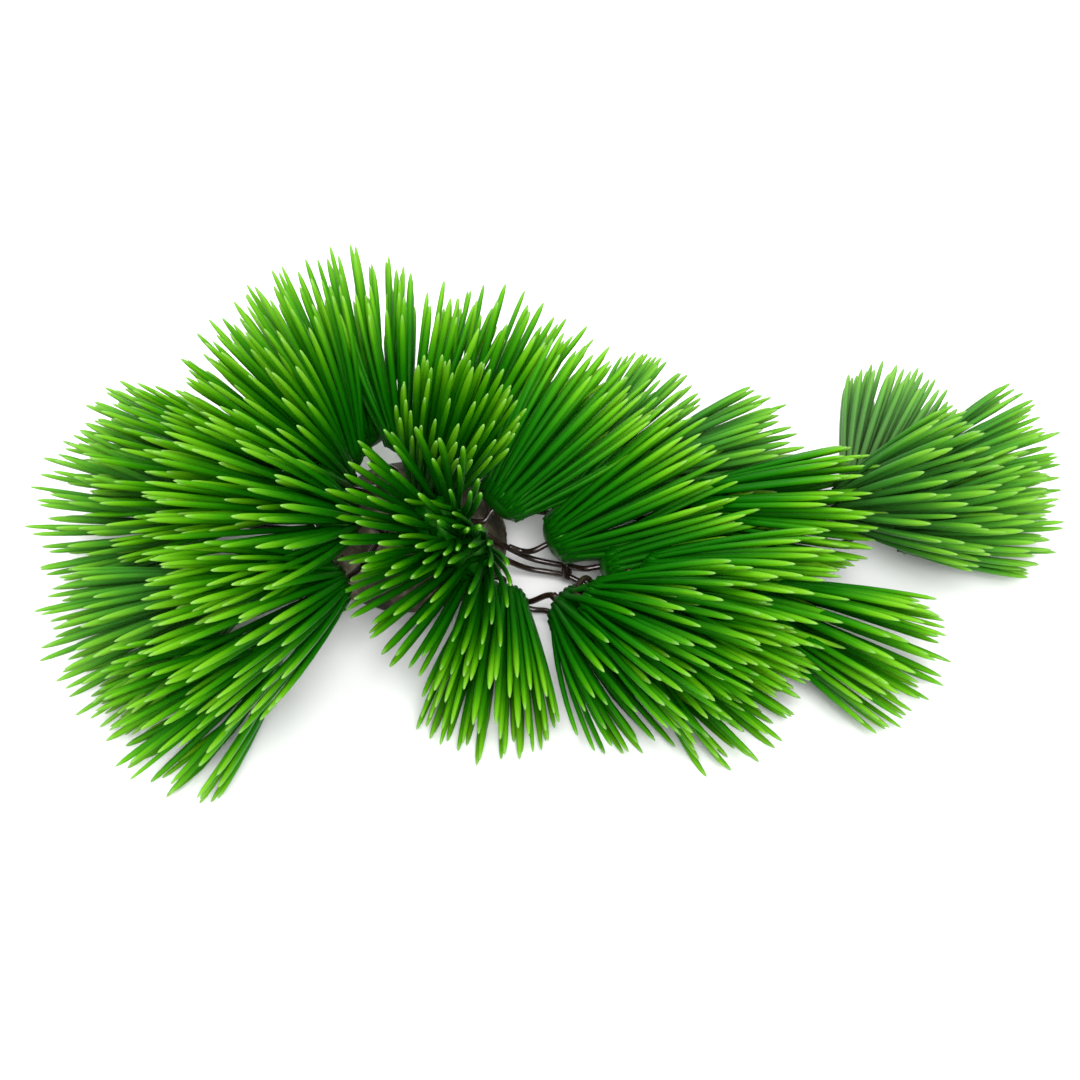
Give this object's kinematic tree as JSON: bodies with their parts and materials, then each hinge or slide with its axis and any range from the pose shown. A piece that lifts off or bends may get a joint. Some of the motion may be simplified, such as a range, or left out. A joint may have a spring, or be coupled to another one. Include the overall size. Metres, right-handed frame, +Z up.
{
  "type": "artificial spikerush",
  "caption": "Artificial spikerush for an aquarium: round tufts of slender green spikes spread on coated wire stems around a mottled stone foot.",
  "frame": {"origin": "middle of the stone foot's flat underside, on the surface it stands on", "axes": "+Z up; -Y towards the side the object is mostly seen from; +X along the long spray of stems"},
  "size_m": [0.3098, 0.1729, 0.0958],
  "materials": {
    "stone": "matte, mottled grey, brown and beige, like natural stone",
    "wire": "glossy dark brown coating on wire",
    "spikes": "semi-gloss, dark green at the cap, yellow-green towards the tips"
  },
  "bodies": {
    "root": {"stone": "stone", "stem_top_upright": "wire", "stem_top_front": "wire", "stem_top_low": "wire", "stem_front": "wire", "stem_left_front": "wire", "stem_left_middle": "wire", "stem_left_back": "wire", "stem_left_mid": "wire", "stem_back_left": "wire", "stem_back_1": "wire", "stem_back_2": "wire", "stem_back_3": "wire", "stem_back_right": "wire", "stem_right_1": "wire", "stem_right_1_branch": "wire", "stem_right_2": "wire", "stem_right_3": "wire", "stem_right_4": "wire", "stem_right_5": "wire", "stem_back_far": "wire", "stem_back_far_branch_1": "wire", "stem_back_far_branch_2": "wire", "stem_end": "wire", "stem_end_branch": "wire", "stem_left_low_1": "wire", "stem_left_low_2": "wire", "stem_left_low_3": "wire", "stem_left_low_front": "wire", "tuft_top_upright": "spikes", "tuft_top_front": "spikes", "tuft_top_low": "spikes", "tuft_front": "spikes", "tuft_back_right": "spikes", "tuft_left_front": "spikes", "tuft_left_middle": "spikes", "tuft_left_back": "spikes", "tuft_back_left": "spikes", "tuft_back_1": "spikes", "tuft_back_2": "spikes", "tuft_back_3": "spikes", "tuft_right_far": "spikes", "tuft_right_front_1": "spikes", "tuft_right_front_2": "spikes", "tuft_right_1": "spikes", "tuft_right_2": "spikes", "tuft_right_3": "spikes", "tuft_end_back": "spikes", "tuft_end_front": "spikes", "tuft_end_far": "spikes", "tuft_end_side": "spikes", "tuft_right_mid": "spikes", "tuft_right_back_2": "spikes", "tuft_right_back_1": "spikes", "tuft_right_low": "spikes", "tuft_left_low_front": "spikes", "tuft_left_low_1": "spikes", "tuft_left_low_2": "spikes", "tuft_left_low_3": "spikes", "tuft_left_mid": "spikes"}
  },
  "joints": []
}
